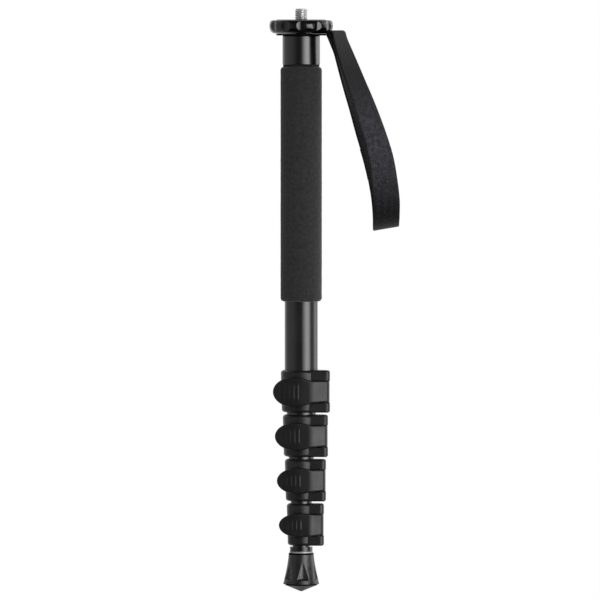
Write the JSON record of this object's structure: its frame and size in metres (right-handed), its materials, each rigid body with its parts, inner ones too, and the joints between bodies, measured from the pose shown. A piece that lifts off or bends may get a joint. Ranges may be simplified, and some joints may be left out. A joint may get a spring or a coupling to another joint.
{
  "type": "camera monopod",
  "caption": "Telescoping camera monopod with flip-lock collars, foam grip, turning scalloped platform with a camera screw, webbing wrist strap and fluted rubber foot.",
  "frame": {"origin": "centre of the camera platform, on the top of its rubber pad", "axes": "+Z along the camera screw, away from the monopod; -Y the side of the lock levers; +X the side of the wrist strap"},
  "size_m": [0.0981, 0.0585, 0.4401],
  "materials": {
    "rubber_black": "moulded black rubber",
    "bright_steel": "plated steel",
    "bright_washer": "turned bright",
    "gloss_black": "gloss black",
    "anodised_black": "satin black anodised drawn tube",
    "lock_black": "fine textured black nylon",
    "nylon": "plain nylon",
    "foam": "closed-cell foam",
    "webbing": "woven black webbing"
  },
  "bodies": {
    "upper": {"neck_cap": "gloss_black", "pivot_washer": "bright_steel", "strap_plate": "gloss_black", "foam_grip": "foam", "tube_1": "anodised_black", "lock_1_collar": "lock_black", "lock_1_liner": "nylon", "lock_1_pin": "bright_steel"},
    "platform": {"rubber_pad": "rubber_black", "camera_screw": "bright_steel", "platform_disc": "gloss_black", "pivot_nut": "bright_steel"},
    "strap": {"wrist_strap": "webbing"},
    "section_2": {"tube_2": "anodised_black", "guide_sleeve_2": "nylon", "lock_2_collar": "lock_black", "lock_2_liner": "nylon", "lock_2_pin": "bright_steel"},
    "section_3": {"tube_3": "anodised_black", "guide_sleeve_3": "nylon", "lock_3_collar": "lock_black", "lock_3_liner": "nylon", "lock_3_pin": "bright_steel"},
    "section_4": {"tube_4": "anodised_black", "guide_sleeve_4": "nylon", "lock_4_collar": "lock_black", "lock_4_liner": "nylon", "lock_4_pin": "bright_steel"},
    "section_5": {"tube_5": "anodised_black", "guide_sleeve_5": "nylon", "foot_plug": "gloss_black", "foot_stud": "bright_steel", "foot_washer": "bright_washer", "rubber_foot": "rubber_black"},
    "lever_1": {"lock_1_lever": "lock_black"},
    "lever_2": {"lock_2_lever": "lock_black"},
    "lever_3": {"lock_3_lever": "lock_black"},
    "lever_4": {"lock_4_lever": "lock_black"}
  },
  "joints": [
    {"name": "platform_turn", "type": "hinge", "parent": "upper", "child": "platform", "pos_m": [0, 0, 0], "axis": [0, 0, 1], "continuous": true},
    {"name": "section_2_slide", "type": "slide", "parent": "upper", "child": "section_2", "axis": [0, 0, -1], "range_m": [0, 0.2228]},
    {"name": "section_3_slide", "type": "slide", "parent": "section_2", "child": "section_3", "axis": [0, 0, -1], "range_m": [0, 0.2504]},
    {"name": "section_4_slide", "type": "slide", "parent": "section_3", "child": "section_4", "axis": [0, 0, -1], "range_m": [0, 0.278]},
    {"name": "section_5_slide", "type": "slide", "parent": "section_4", "child": "section_5", "axis": [0, 0, -1], "range_m": [0, 0.3056]},
    {"name": "lever_1_open", "type": "hinge", "parent": "upper", "child": "lever_1", "pos_m": [0.0175, -0.0093, -0.2805], "axis": [0, 0, 1], "range_deg": [0, 120]},
    {"name": "lever_2_open", "type": "hinge", "parent": "section_2", "child": "lever_2", "pos_m": [0.016, -0.0078, -0.3141], "axis": [0, 0, 1], "range_deg": [0, 120]},
    {"name": "lever_3_open", "type": "hinge", "parent": "section_3", "child": "lever_3", "pos_m": [0.0145, -0.0063, -0.3477], "axis": [0, 0, 1], "range_deg": [0, 120]},
    {"name": "lever_4_open", "type": "hinge", "parent": "section_4", "child": "lever_4", "pos_m": [0.013, -0.0048, -0.3813], "axis": [0, 0, 1], "range_deg": [0, 120]},
    {"name": "strap_swing", "type": "hinge", "parent": "upper", "child": "strap", "pos_m": [0.02633, -0.0152, -0.01135], "axis": [-0.5, -0.866, 0], "range_deg": [-10, 70]}
  ]
}
